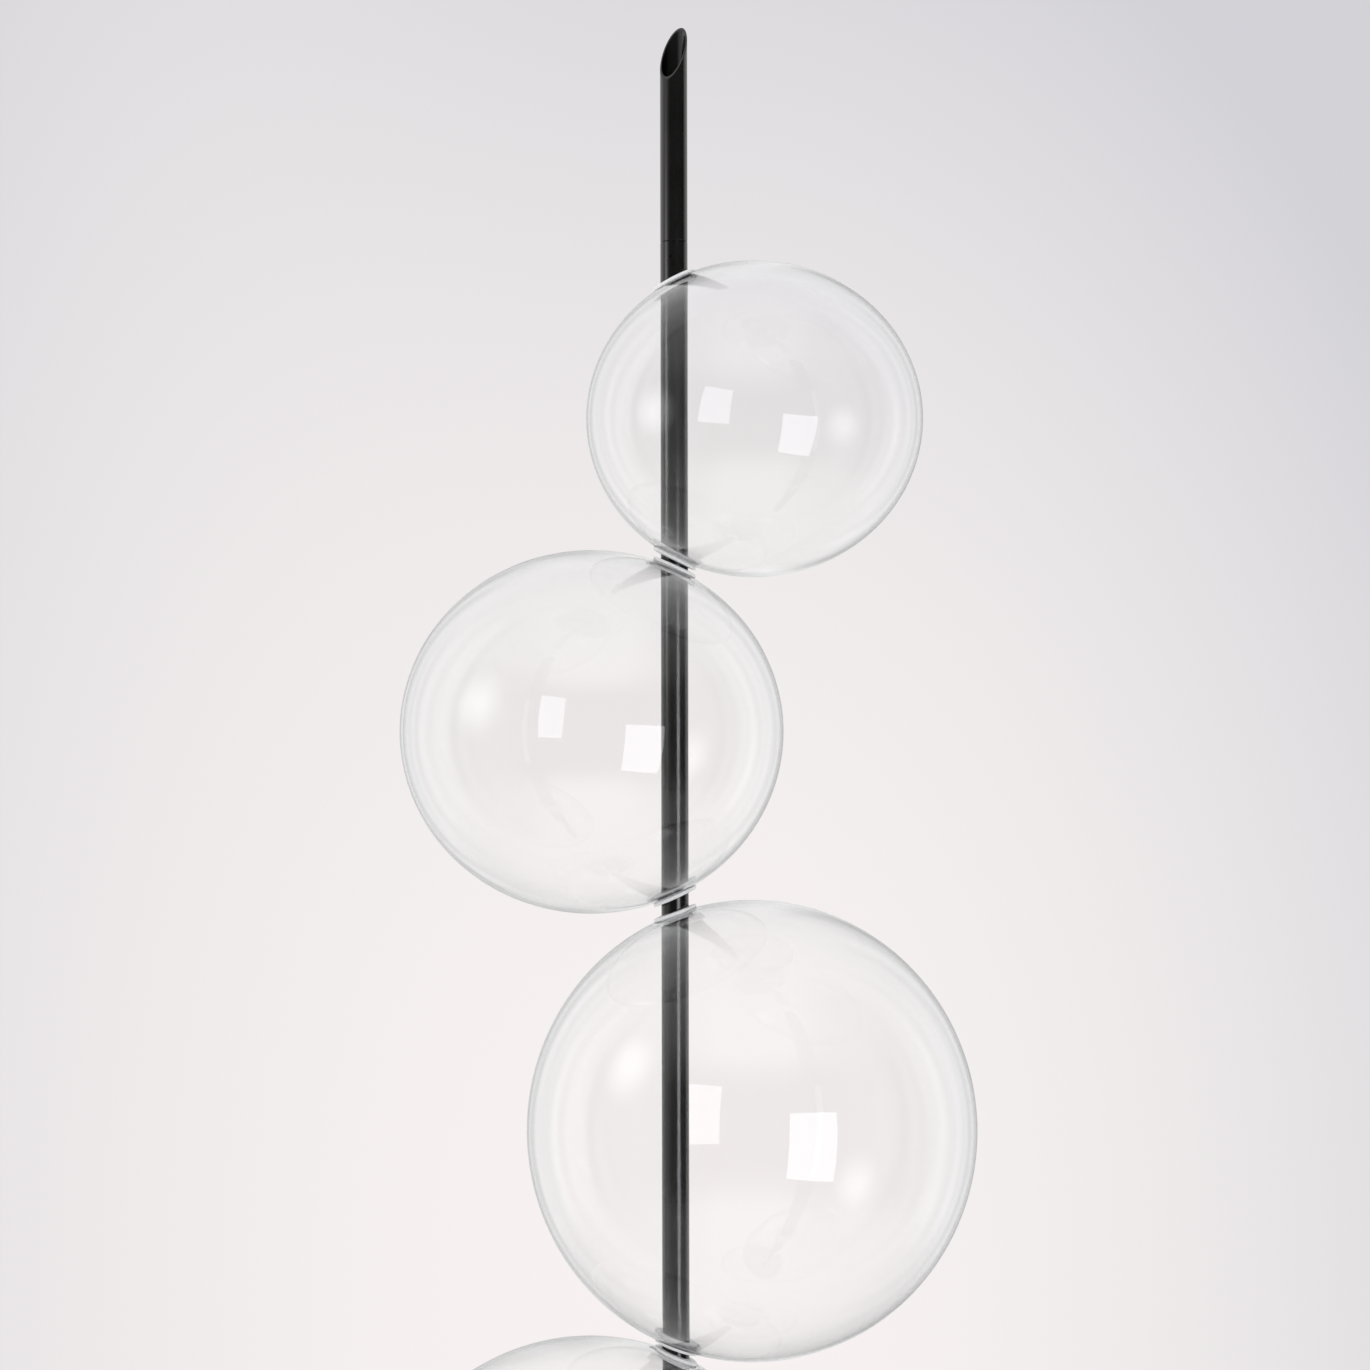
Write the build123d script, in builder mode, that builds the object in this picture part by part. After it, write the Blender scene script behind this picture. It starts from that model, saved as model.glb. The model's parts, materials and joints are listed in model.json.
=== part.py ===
"""Five-light floor lamp: five clear blown-glass globes threaded off-centre on one dark tube.

The origin is the middle of the base's underside. +Z is up, the slanted top of the tube opens
towards -Y, and the globes stand to the right (+X) and left (-X) of the tube by turns.
"""
import os
from dataclasses import dataclass
from math import asin, cos, degrees, radians, sin, sqrt, tan

from build123d import *

os.makedirs("parts", exist_ok=True)

# Tube that carries the globes
tube_diameter = 21.4
tube_wall = 1.5
tube_end_chamfer = 0.3
finial_length = 170.0
cut_rise = 44.0
cut_azimuth = 33.0  # the slanted cut faces the front, turned this far to the left
seam_above_glass = 30.0
seam_below_glass = 70.0

# Globes, numbered from the top: outer width and height, and the centre's place right of the tube
globe_1_width = 264.0
globe_1_height = 248.0
globe_1_offset = 63.0
globe_2_width = 301.0
globe_2_height = 285.0
globe_2_offset = -65.0
globe_3_width = 353.0
globe_3_height = 360.0
globe_3_offset = 60.0
globe_4_width = 350.0
globe_4_height = 350.0
globe_4_offset = -68.0
globe_5_width = 300.0
globe_5_height = 290.0
globe_5_offset = 63.0
glass_wall = 2.5
glass_hole = 30.0

# Room between the globes' walls, measured along the tube
gap_1_2 = 7.5
gap_2_3 = 14.4
gap_3_4 = 8.3
gap_4_5 = 8.0
bare_stem = 428.0

# Clear seals in the globes' holes
seal_lip = 2.6
seal_lip_overlap = 1.6
seal_running_fit = 0.1
seal_play = 0.1

# Studs in the tube that carry each globe by its lower seal and stop its turn
stud_diameter = 2.0
stud_reach = 2.2
stud_play = 0.3
globe_turn = 10.0
turn_spare = 1.0

# Light units let into the back of the tube
light_slot_length = 80.0
light_slot_width = 9.0
diffuser_fit = 0.15
diffuser_depth = 3.2
diffuser_set_back = 0.2
carrier_length = 90.0
carrier_seat = 4.2
carrier_back = 1.9
carrier_fit = 0.05
board_length = 78.0
board_width = 8.0
board_thickness = 1.0
led_size = 2.8
led_height = 0.7
led_count = 8
led_pitch = 9.0

# Couplers that join the tube's three lengths
coupler_length = 60.0
coupler_wall = 2.0
coupler_fit = 0.05
coupler_screw_diameter = 3.0
coupler_screw_length = 3.0
coupler_screw_drop = 12.0
coupler_screw_azimuth = 14.0
screw_fit = 0.05
screw_set_back = 0.15

# Wiring inside the tube
loom_diameter = 4.0
loom_set_back = 4.2
loom_bend = 8.0
loom_clear = 0.5

# Base
base_diameter = 360.0
base_height = 35.0
foot_pad_inset = 8.0
foot_pad_thickness = 3.0
base_plate_thickness = 2.0
base_plate_screws = 6
plate_screw_diameter = 4.0
plate_screw_length = 10.0
plate_screw_head = 8.0
plate_screw_inset = 9.0
cover_wall = 2.0
cover_edge_radius = 7.0
ballast_side_gap = 1.0
socket_diameter = 34.0
socket_rise = 22.0
socket_depth = 33.0
socket_fit = 0.05
socket_side_gap = 0.3
socket_flange_diameter = 80.0
socket_flange_thickness = 5.0
socket_wire_hole = 14.0
socket_chamfer = 1.0
socket_screw_diameter = 5.0
socket_screw_circle = 60.0
socket_screw_length = 14.0
socket_screw_head = 8.5
grub_screw_diameter = 5.0
grub_set_back = 0.5
grub_screw_drop = 11.0
cover_ring_diameter = 46.0
cover_ring_height = 6.0
cover_ring_edge_radius = 1.5
wiring_recess_diameter = 90.0
wiring_recess_height = 9.0

# Driver and cord inlet
driver_length = 150.0
driver_width = 44.0
driver_height = 18.0
driver_inset = 75.0  # from the base's rim to the driver's middle
driver_play = 2.0
driver_corner = 2.0
channel_width = 12.0
gland_diameter = 12.0
gland_head_diameter = 18.0
gland_head_length = 7.0
gland_bore = 7.2
gland_chamfer = 1.5
gland_fit = 0.1
gland_end_gap = 1.0

# Foot switch
button_diameter = 34.0
button_proud = 5.0
button_travel = 3.0
button_skirt = 2.5
button_skirt_thickness = 3.0
button_gap = 0.5
button_edge_radius = 2.0
button_inset = 62.0  # from the base's rim to the button's middle
switch_diameter = 38.0
switch_height = 12.0
switch_floor = 5.0
switch_clear = 0.5
plunger_diameter = 8.0
plunger_fit = 0.1
switch_lead_diameter = 3.0
switch_lead_channel = 10.0
switch_lead_bend = 12.0

# Places worked out from the sizes above
tube_radius = tube_diameter / 2
bore_radius = tube_radius - tube_wall
grub_screw_length = socket_diameter / 2 - tube_radius - grub_set_back
foot_pad_diameter = base_diameter - 2 * foot_pad_inset
driver_distance = base_diameter / 2 - driver_inset
button_distance = base_diameter / 2 - button_inset
plate_z = foot_pad_thickness
ballast_z = plate_z + base_plate_thickness
cover_ceiling = base_height - cover_wall
flange_z = ballast_z + wiring_recess_height
socket_top = base_height + socket_rise
tube_foot = socket_top - socket_depth
seal_bore_radius = tube_radius + seal_running_fit
seal_neck_radius = glass_hole / 2 - seal_play
seal_lip_radius = glass_hole / 2 + seal_lip_overlap
coupler_radius = bore_radius - coupler_fit
loom_y = -loom_set_back


@dataclass
class Globe:
    """One glass globe: its outer size, and where its centre lies from the tube's axis."""

    name: str
    width: float
    height: float
    offset: float
    gap_above: float
    centre_z: float = 0.0

    def wall_at_tube(self, inset=0.0):
        """Height above the centre of a surface this far inside the glass, at the tube's axis."""
        half_width = self.width / 2 - inset
        return (self.height / 2 - inset) * sqrt(1 - (self.offset / half_width) ** 2)


globes = [
    Globe("globe_5", globe_5_width, globe_5_height, globe_5_offset, gap_4_5),
    Globe("globe_4", globe_4_width, globe_4_height, globe_4_offset, gap_3_4),
    Globe("globe_3", globe_3_width, globe_3_height, globe_3_offset, gap_2_3),
    Globe("globe_2", globe_2_width, globe_2_height, globe_2_offset, gap_1_2),
    Globe("globe_1", globe_1_width, globe_1_height, globe_1_offset, seam_above_glass),
]

# Each globe stands on the one below, with the stated gap between their walls at the tube
lowest_glass = base_height + bare_stem
next_wall = lowest_glass
for globe in globes:
    globe.centre_z = next_wall + globe.wall_at_tube()
    next_wall = globe.centre_z + globe.wall_at_tube() + globe.gap_above

lower_seam = lowest_glass - seam_below_glass
upper_seam = next_wall
tip_z = upper_seam + finial_length
stud_heights = [globe.centre_z - globe.wall_at_tube(glass_wall / 2) for globe in globes]


def save(piece, name):
    """Label a finished piece and write it to its own file."""
    piece.label = name
    export_step(piece, f"parts/{name}.step")


def facing(azimuth, distance, height):
    """A plane square to the tube's side: it looks out at this angle, counted from the front to the left."""
    out = (-sin(radians(azimuth)), -cos(radians(azimuth)), 0)
    return Plane(origin=(out[0] * distance, out[1] * distance, height), z_dir=out)


def tube(bottom, top, chamfer_bottom, chamfer_top):
    """A length of the lamp's tube, its ends eased where they show as a seam."""
    with BuildPart() as made:
        with BuildSketch(Plane.XY.offset(bottom)):
            Circle(tube_radius)
        extrude(amount=top - bottom)
        eased = made.faces().filter_by(GeomType.PLANE).sort_by(Axis.Z)
        if chamfer_bottom:
            chamfer(eased[0].edges(), tube_end_chamfer)
        if chamfer_top:
            chamfer(eased[-1].edges(), tube_end_chamfer)
        with BuildSketch(Plane.XY.offset(bottom)):
            Circle(bore_radius)
        extrude(amount=top - bottom, mode=Mode.SUBTRACT)
    return made.part


def ball(globe, outset):
    """A solid globe this far outside the glass's outer face, its seam turned a quarter off the tube."""
    half_width = globe.width / 2 + outset
    with BuildPart() as made:
        Sphere(half_width, rotation=(0, 0, -90))
        scale(by=(1, 1, (globe.height / 2 + outset) / half_width))
    return made.part.moved(Location((globe.offset, 0, globe.centre_z)))


def shell(globe, outside, inside, hole_radius):
    """A hollow globe from this far outside its glass to this far inside it, pierced along the tube."""
    with BuildPart() as made:
        add(ball(globe, outside))
        add(ball(globe, -inside), mode=Mode.SUBTRACT)
        with BuildSketch(Plane.XY.offset(globe.centre_z - globe.height)):
            Circle(hole_radius)
        extrude(amount=2 * globe.height, mode=Mode.SUBTRACT)
    return made.part


def seal(globe, side, stud_z=None):
    """The clear ring in a globe's upper (side 1) or lower (side -1) hole, with a lip on each face."""
    groove = shell(globe, seal_play, glass_wall + seal_play, seal_neck_radius)
    with BuildPart() as made:
        add(shell(globe, seal_lip, glass_wall + seal_lip, seal_bore_radius))
        with BuildSketch(Plane.XY.offset(globe.centre_z)):
            Circle(seal_lip_radius)
        extrude(amount=side * globe.height, mode=Mode.INTERSECT)
        add(groove, mode=Mode.SUBTRACT)
        if stud_z is not None:
            # Two pockets, front and back, in which the studs carry the globe and stop its turn
            half_stud = degrees(asin(stud_diameter / tube_diameter))
            half_angle = globe_turn + half_stud + turn_spare
            reach = tube_radius + stud_reach + stud_play
            side_x = 2 * reach * tan(radians(half_angle))
            with BuildSketch(Plane.XY.offset(stud_z - stud_diameter / 2 - stud_play)):
                Polygon((0, 0), (side_x, 2 * reach), (-side_x, 2 * reach), align=None)
                Polygon((0, 0), (-side_x, -2 * reach), (side_x, -2 * reach), align=None)
                Circle(reach, mode=Mode.INTERSECT)
            extrude(amount=stud_diameter + 2 * stud_play, mode=Mode.SUBTRACT)
    return made.part


# Foot pad: a plain disc of felt-faced rubber under the whole base
with BuildPart() as foot_pad:
    with BuildSketch():
        Circle(foot_pad_diameter / 2)
    extrude(amount=foot_pad_thickness)
save(foot_pad.part, "foot_pad")

# Cover: a spun dish that hides the ballast, open below
button_place = (button_distance, 0)
button_hole_radius = button_diameter / 2 + button_gap
gland_z = ballast_z + driver_height / 2
gland_plane = Plane(origin=(0, base_diameter / 2, gland_z), z_dir=(0, 1, 0))
with BuildPart() as base_cover:
    with BuildSketch(Plane.XY.offset(plate_z)):
        Circle(base_diameter / 2)
    extrude(amount=base_height - plate_z)
    fillet(base_cover.faces().sort_by(Axis.Z)[-1].edges(), cover_edge_radius)
    offset(amount=-cover_wall, openings=base_cover.faces().sort_by(Axis.Z)[0])
    with BuildSketch(Plane.XY.offset(cover_ceiling)):
        Circle(socket_diameter / 2 + socket_side_gap)
        with Locations(button_place):
            Circle(button_hole_radius)
    extrude(amount=cover_wall, mode=Mode.SUBTRACT)
    with BuildSketch(gland_plane):
        Circle(gland_diameter / 2 + gland_fit)
    extrude(amount=-2 * cover_wall, mode=Mode.SUBTRACT)
save(base_cover.part, "base_cover")

# Base plate: closes the ballast below, its screws sunk flush and hidden by the pad
fitted_diameter = base_diameter - 2 * cover_wall - 2 * ballast_side_gap
screw_circle = fitted_diameter / 2 - plate_screw_inset
head_depth = (plate_screw_head - plate_screw_diameter) / 2
with BuildPart() as base_plate:
    with BuildSketch(Plane.XY.offset(plate_z)):
        Circle(fitted_diameter / 2)
    extrude(amount=base_plate_thickness)
    with Locations(Plane.XY.offset(plate_z)):
        with PolarLocations(screw_circle, base_plate_screws):
            Cone(
                plate_screw_head / 2 + screw_fit,
                plate_screw_diameter / 2 + screw_fit,
                head_depth,
                align=(Align.CENTER, Align.CENTER, Align.MIN),
                mode=Mode.SUBTRACT,
            )
            Cylinder(plate_screw_diameter / 2 + screw_fit, 2 * base_plate_thickness, mode=Mode.SUBTRACT)
save(base_plate.part, "base_plate")


def sunk_screw(place, diameter, head_diameter, length):
    """A countersunk screw driven upwards, its flat head at this place."""
    depth = (head_diameter - diameter) / 2
    with BuildPart(Plane(origin=place)) as made:
        Cone(head_diameter / 2, diameter / 2, depth, align=(Align.CENTER, Align.CENTER, Align.MIN))
        Cylinder(diameter / 2, length, align=(Align.CENTER, Align.CENTER, Align.MIN))
        Cylinder(diameter / 4, depth / 2, align=(Align.CENTER, Align.CENTER, Align.MIN), mode=Mode.SUBTRACT)
    return made.part


def group(pieces):
    """Like fasteners kept together as one node of separate solids."""
    return Compound(children=list(pieces))


plate_places = [place.position for place in PolarLocations(screw_circle, base_plate_screws)]
save(
    group(
        sunk_screw((p.X, p.Y, plate_z), plate_screw_diameter, plate_screw_head, plate_screw_length)
        for p in plate_places
    ),
    "base_plate_screws",
)

# Ballast: a cast disc with room below for the wiring, the driver and the tube's socket
flange_top = flange_z + socket_flange_thickness
switch_z = ballast_z + switch_floor - button_travel
switch_pocket = button_diameter + 2 * button_skirt + 2 * switch_clear
driver_place = (0, driver_distance)
lead_z = switch_z + switch_lead_diameter / 2 + switch_clear
with BuildPart() as ballast_disc:
    with BuildSketch(Plane.XY.offset(ballast_z)):
        Circle(fitted_diameter / 2)
    extrude(amount=cover_ceiling - ballast_z)
    fillet(ballast_disc.faces().sort_by(Axis.Z)[-1].edges(), cover_edge_radius - cover_wall)
    with BuildSketch(Plane.XY.offset(ballast_z)):
        Circle(wiring_recess_diameter / 2)
        with Locations((0, driver_distance / 2)):
            Rectangle(channel_width, driver_distance)
    extrude(amount=wiring_recess_height, mode=Mode.SUBTRACT)
    with BuildSketch(Plane.XY.offset(flange_z)):
        Circle(socket_flange_diameter / 2 + socket_side_gap)
    extrude(amount=socket_flange_thickness, mode=Mode.SUBTRACT)
    with BuildSketch(Plane.XY.offset(flange_top)):
        Circle(socket_diameter / 2 + socket_side_gap)
    extrude(amount=base_height, mode=Mode.SUBTRACT)
    with BuildSketch(Plane.XY.offset(ballast_z)):
        with Locations(driver_place):
            Rectangle(driver_length + 2 * driver_play, driver_width + 2 * driver_play)
    extrude(amount=driver_height + driver_play, mode=Mode.SUBTRACT)
    with BuildSketch(Plane.XY.offset(switch_z)):
        with Locations(button_place):
            Circle(switch_pocket / 2)
    extrude(amount=base_height, mode=Mode.SUBTRACT)
    with BuildSketch(Plane.XY.offset(ballast_z)):
        with Locations((button_distance, driver_distance / 2)):
            Rectangle(switch_lead_channel, driver_distance + switch_lead_channel)
        with Locations((button_distance / 2, driver_distance)):
            Rectangle(button_distance + switch_lead_channel, switch_lead_channel)
    extrude(amount=lead_z + switch_lead_diameter - ballast_z, mode=Mode.SUBTRACT)
    with BuildSketch(gland_plane):
        Circle(gland_diameter / 2 + gland_fit)
    extrude(amount=driver_distance - base_diameter / 2, mode=Mode.SUBTRACT)
    with BuildSketch(Plane.XY.offset(ballast_z)):
        with PolarLocations(screw_circle, base_plate_screws):
            Circle(plate_screw_diameter / 2 + screw_fit)
    extrude(amount=plate_screw_length, mode=Mode.SUBTRACT)
    with BuildSketch(Plane.XY.offset(flange_top)):
        with PolarLocations(socket_screw_circle / 2, 4, start_angle=45):
            Circle(socket_screw_diameter / 2 + screw_fit)
    extrude(amount=socket_screw_length - socket_flange_thickness, mode=Mode.SUBTRACT)
save(ballast_disc.part, "ballast_disc")

# Socket: bolted up into the ballast, it holds the foot of the tube
grub_azimuths = (140, 220)
grub_z = socket_top - grub_screw_drop
with BuildPart() as stem_socket:
    with BuildSketch(Plane.XY.offset(flange_z)):
        Circle(socket_flange_diameter / 2)
    extrude(amount=socket_flange_thickness)
    with BuildSketch(Plane.XY.offset(flange_z)):
        Circle(socket_diameter / 2)
    extrude(amount=socket_top - flange_z)
    chamfer(stem_socket.faces().sort_by(Axis.Z)[-1].edges(), socket_chamfer)
    with BuildSketch(Plane.XY.offset(tube_foot)):
        Circle(tube_radius + socket_fit)
    extrude(amount=socket_depth, mode=Mode.SUBTRACT)
    with BuildSketch(Plane.XY.offset(flange_z)):
        Circle(socket_wire_hole / 2)
    extrude(amount=tube_foot - flange_z, mode=Mode.SUBTRACT)
    with Locations(Plane.XY.offset(flange_z)):
        with PolarLocations(socket_screw_circle / 2, 4, start_angle=45):
            Cone(
                socket_screw_head / 2 + screw_fit,
                socket_screw_diameter / 2 + screw_fit,
                (socket_screw_head - socket_screw_diameter) / 2,
                align=(Align.CENTER, Align.CENTER, Align.MIN),
                mode=Mode.SUBTRACT,
            )
            Cylinder(socket_screw_diameter / 2 + screw_fit, 3 * socket_flange_thickness, mode=Mode.SUBTRACT)
    for azimuth in grub_azimuths:
        with BuildSketch(facing(azimuth, 0, grub_z)):
            Circle(grub_screw_diameter / 2 + screw_fit)
        extrude(amount=socket_diameter, mode=Mode.SUBTRACT)
save(stem_socket.part, "stem_socket")

socket_places = [place.position for place in PolarLocations(socket_screw_circle / 2, 4, start_angle=45)]
save(
    group(
        sunk_screw((p.X, p.Y, flange_z), socket_screw_diameter, socket_screw_head, socket_screw_length)
        for p in socket_places
    ),
    "socket_screws",
)


def grub_screw(azimuth, height, start, diameter, length):
    """A headless screw set across the tube's axis, with a key socket in its outer end."""
    with BuildPart() as made:
        with BuildSketch(facing(azimuth, start, height)):
            Circle(diameter / 2)
        extrude(amount=length)
        with BuildSketch(facing(azimuth, start + length, height)):
            RegularPolygon(diameter / 4, 6)
        extrude(amount=-length / 2, mode=Mode.SUBTRACT)
    return made.part


save(
    group(
        grub_screw(azimuth, grub_z, tube_radius, grub_screw_diameter, grub_screw_length)
        for azimuth in grub_azimuths
    ),
    "socket_grub_screws",
)

# Ring screwed down over the socket to hold the cover
with BuildPart() as cover_ring:
    with BuildSketch(Plane.XY.offset(base_height)):
        Circle(cover_ring_diameter / 2)
    extrude(amount=cover_ring_height)
    fillet(cover_ring.faces().sort_by(Axis.Z)[-1].edges(), cover_ring_edge_radius)
    with BuildSketch(Plane.XY.offset(base_height)):
        Circle(socket_diameter / 2 + socket_fit)
    extrude(amount=cover_ring_height, mode=Mode.SUBTRACT)
save(cover_ring.part, "cover_ring")

# Driver in its pocket, on the base plate
with BuildPart() as led_driver:
    with BuildSketch(Plane.XY.offset(ballast_z)):
        with Locations(driver_place):
            Rectangle(driver_length, driver_width)
    extrude(amount=driver_height)
    chamfer(led_driver.edges().filter_by(Axis.Z), driver_corner)
save(led_driver.part, "led_driver")

# Cord inlet: a bush through the back of the base, its head outside the cover
gland_inner_end = driver_distance + driver_width / 2 + gland_end_gap
with BuildPart() as cord_inlet:
    with BuildSketch(gland_plane):
        Circle(gland_diameter / 2)
    extrude(amount=gland_inner_end - base_diameter / 2)
    with BuildSketch(gland_plane):
        Circle(gland_head_diameter / 2)
    extrude(amount=gland_head_length)
    chamfer(cord_inlet.faces().sort_by(Axis.Y)[-1].edges(), gland_chamfer)
    with BuildSketch(gland_plane.offset(gland_head_length)):
        Circle(gland_bore / 2)
    extrude(amount=-base_diameter / 2, mode=Mode.SUBTRACT)
save(cord_inlet.part, "cord_inlet")

# Foot switch: a sealed unit in the ballast, worked by a cap that travels in the cover
cap_low = cover_ceiling - button_gap - button_skirt_thickness
switch_top = switch_z + switch_height
plunger_low = switch_z + switch_height / 2
with BuildPart() as switch_body:
    with BuildSketch(Plane.XY.offset(switch_z)):
        with Locations(button_place):
            Circle(switch_diameter / 2)
    extrude(amount=switch_height)
    with BuildSketch(Plane.XY.offset(plunger_low - button_travel - switch_clear)):
        with Locations(button_place):
            Circle(plunger_diameter / 2 + plunger_fit)
    extrude(amount=switch_height, mode=Mode.SUBTRACT)
save(switch_body.part, "switch_body")

with BuildPart() as switch_plunger:
    with BuildSketch(Plane.XY.offset(plunger_low)):
        with Locations(button_place):
            Circle(plunger_diameter / 2)
    extrude(amount=cap_low - plunger_low)
save(switch_plunger.part, "switch_plunger")

with BuildPart() as foot_button:
    with BuildSketch(Plane.XY.offset(cap_low)):
        with Locations(button_place):
            Circle(button_diameter / 2)
    extrude(amount=base_height + button_proud - cap_low)
    fillet(foot_button.faces().sort_by(Axis.Z)[-1].edges(), button_edge_radius)
    with BuildSketch(Plane.XY.offset(cap_low)):
        with Locations(button_place):
            Circle(button_diameter / 2 + button_skirt)
    extrude(amount=button_skirt_thickness)
save(foot_button.part, "foot_button")

with BuildPart() as switch_lead:
    with BuildLine(Plane.XY.offset(lead_z)) as lead_route:
        FilletPolyline(
            (button_distance, switch_diameter / 2),
            (button_distance, driver_distance),
            (driver_length / 2, driver_distance),
            radius=switch_lead_bend,
        )
    with BuildSketch(Plane(origin=lead_route.line @ 0, z_dir=lead_route.line % 0)):
        Circle(switch_lead_diameter / 2)
    sweep(path=lead_route.line)
save(switch_lead.part, "switch_lead")

# Wiring loom: from the driver under the socket, then up behind the light units to the top one
loom_z = ballast_z + loom_diameter / 2 + loom_clear
with BuildPart() as wiring_loom:
    with BuildLine(Plane.YZ) as loom_route:
        FilletPolyline(
            (driver_distance - driver_width / 2, loom_z),
            (loom_y, loom_z),
            (loom_y, globes[-1].centre_z),
            radius=loom_bend,
        )
    with BuildSketch(Plane(origin=loom_route.line @ 0, z_dir=loom_route.line % 0)):
        Circle(loom_diameter / 2)
    sweep(path=loom_route.line)
save(wiring_loom.part, "wiring_loom")

# Lower tube, from the socket to the first seam
screw_radius = coupler_screw_diameter / 2
with BuildPart() as lower_tube:
    add(tube(tube_foot, lower_seam, False, True))
    with BuildSketch(facing(coupler_screw_azimuth, 0, lower_seam - coupler_screw_drop)):
        Circle(screw_radius + screw_fit)
    extrude(amount=tube_diameter, mode=Mode.SUBTRACT)
save(lower_tube.part, "lower_tube")

# Main tube, through all five globes, with a slot for each light and two holes for each globe's studs
with BuildPart() as main_tube:
    add(tube(lower_seam, upper_seam, True, True))
    with BuildSketch(facing(coupler_screw_azimuth, 0, upper_seam - coupler_screw_drop)):
        Circle(screw_radius + screw_fit)
    extrude(amount=tube_diameter, mode=Mode.SUBTRACT)
    for globe, stud_z in zip(globes, stud_heights):
        with BuildSketch(Plane(origin=(0, 0, globe.centre_z), x_dir=(0, 0, 1), z_dir=(0, 1, 0))):
            SlotOverall(light_slot_length, light_slot_width)
        extrude(amount=tube_diameter, mode=Mode.SUBTRACT)
        with BuildSketch(facing(0, -tube_diameter, stud_z)):
            Circle(stud_diameter / 2 + screw_fit)
        extrude(amount=2 * tube_diameter, mode=Mode.SUBTRACT)
save(main_tube.part, "main_tube")

# Finial tube: the open top, cut on a long slant
cut_normal = (
    -sin(radians(cut_azimuth)) * cut_rise / tube_diameter,
    -cos(radians(cut_azimuth)) * cut_rise / tube_diameter,
    1,
)
with BuildPart() as finial_tube:
    add(tube(upper_seam, tip_z, True, False))
    split(bisect_by=Plane(origin=(0, 0, tip_z - cut_rise / 2), z_dir=cut_normal), keep=Keep.BOTTOM)
save(finial_tube.part, "finial_tube")

# Couplers: sleeves inside the tube at each seam, each held by one sunk screw
for name, seam_z in (("lower_coupler", lower_seam), ("upper_coupler", upper_seam)):
    with BuildPart() as coupler:
        with BuildSketch(Plane.XY.offset(seam_z - coupler_length / 2)):
            Circle(coupler_radius)
            Circle(coupler_radius - coupler_wall, mode=Mode.SUBTRACT)
        extrude(amount=coupler_length)
        with BuildSketch(facing(coupler_screw_azimuth, 0, seam_z - coupler_screw_drop)):
            Circle(screw_radius + screw_fit)
        extrude(amount=tube_diameter, mode=Mode.SUBTRACT)
    save(coupler.part, name)

screw_start = tube_radius - screw_set_back - coupler_screw_length
save(
    group(
        grub_screw(
            coupler_screw_azimuth, seam_z - coupler_screw_drop, screw_start, coupler_screw_diameter,
            coupler_screw_length,
        )
        for seam_z in (lower_seam, upper_seam)
    ),
    "coupler_screws",
)


def stud(azimuth, height):
    """A short pin driven through the tube's wall."""
    with BuildPart() as made:
        with BuildSketch(facing(azimuth, bore_radius, height)):
            Circle(stud_diameter / 2)
        extrude(amount=tube_wall + stud_reach)
    return made.part


save(group(stud(azimuth, z) for z in stud_heights for azimuth in (0, 180)), "globe_studs")

# Globes with their seals and lights
for globe, stud_z in zip(globes, stud_heights):
    save(shell(globe, 0, glass_wall, glass_hole / 2), globe.name)
    save(seal(globe, 1), f"{globe.name}_upper_seal")
    save(seal(globe, -1, stud_z), f"{globe.name}_lower_seal")

    with BuildPart() as light_carrier:
        with BuildSketch(Plane.XY.offset(globe.centre_z - carrier_length / 2)):
            Circle(bore_radius - carrier_fit)
            with Locations((0, (carrier_seat - carrier_back) / 2)):
                Rectangle(tube_diameter, carrier_seat + carrier_back, mode=Mode.INTERSECT)
        extrude(amount=carrier_length)
    save(light_carrier.part, f"{globe.name}_light_carrier")

    chip_face = carrier_seat + board_thickness
    with BuildPart() as led_board:
        with BuildSketch(Plane.XY.offset(globe.centre_z - board_length / 2)):
            with Locations((0, carrier_seat + board_thickness / 2)):
                Rectangle(board_width, board_thickness)
        extrude(amount=board_length)
        with BuildSketch(Plane(origin=(0, chip_face, globe.centre_z), x_dir=(0, 0, 1), z_dir=(0, 1, 0))):
            with GridLocations(led_pitch, 0, led_count, 1):
                Rectangle(led_size, led_size)
        extrude(amount=led_height)
    save(led_board.part, f"{globe.name}_led_board")

    face_radius = tube_radius - diffuser_set_back
    behind = Plane(origin=(0, face_radius - diffuser_depth, globe.centre_z), x_dir=(0, 0, 1), z_dir=(0, 1, 0))
    with BuildPart() as diffuser:
        with BuildSketch(behind):
            SlotOverall(light_slot_length - 2 * diffuser_fit, light_slot_width - 2 * diffuser_fit)
        extrude(amount=2 * diffuser_depth)
        with BuildSketch(Plane.XY.offset(globe.centre_z - light_slot_length)):
            Circle(face_radius)
        extrude(amount=2 * light_slot_length, mode=Mode.INTERSECT)
    save(diffuser.part, f"{globe.name}_diffuser")

print(f"upper seam at {upper_seam:.1f}, tip at {tip_z:.1f}, top globe's centre at {globes[-1].centre_z:.1f}")
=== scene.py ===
"""Looks for the five-light floor lamp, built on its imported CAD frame.

The globes, their seals, the tube and the turned pieces of the base are made here as fine surfaces in the
places of their CAD solids. The fittings inside keep their CAD shapes and get their finishes here.
"""
import json
from math import cos, hypot, pi, radians, sin, sqrt, tau

import bmesh
import bpy
from bpy.props import FloatProperty, FloatVectorProperty, IntProperty, PointerProperty
from bpy.types import Operator, Panel, PropertyGroup
from mathutils import Matrix, Vector


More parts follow.
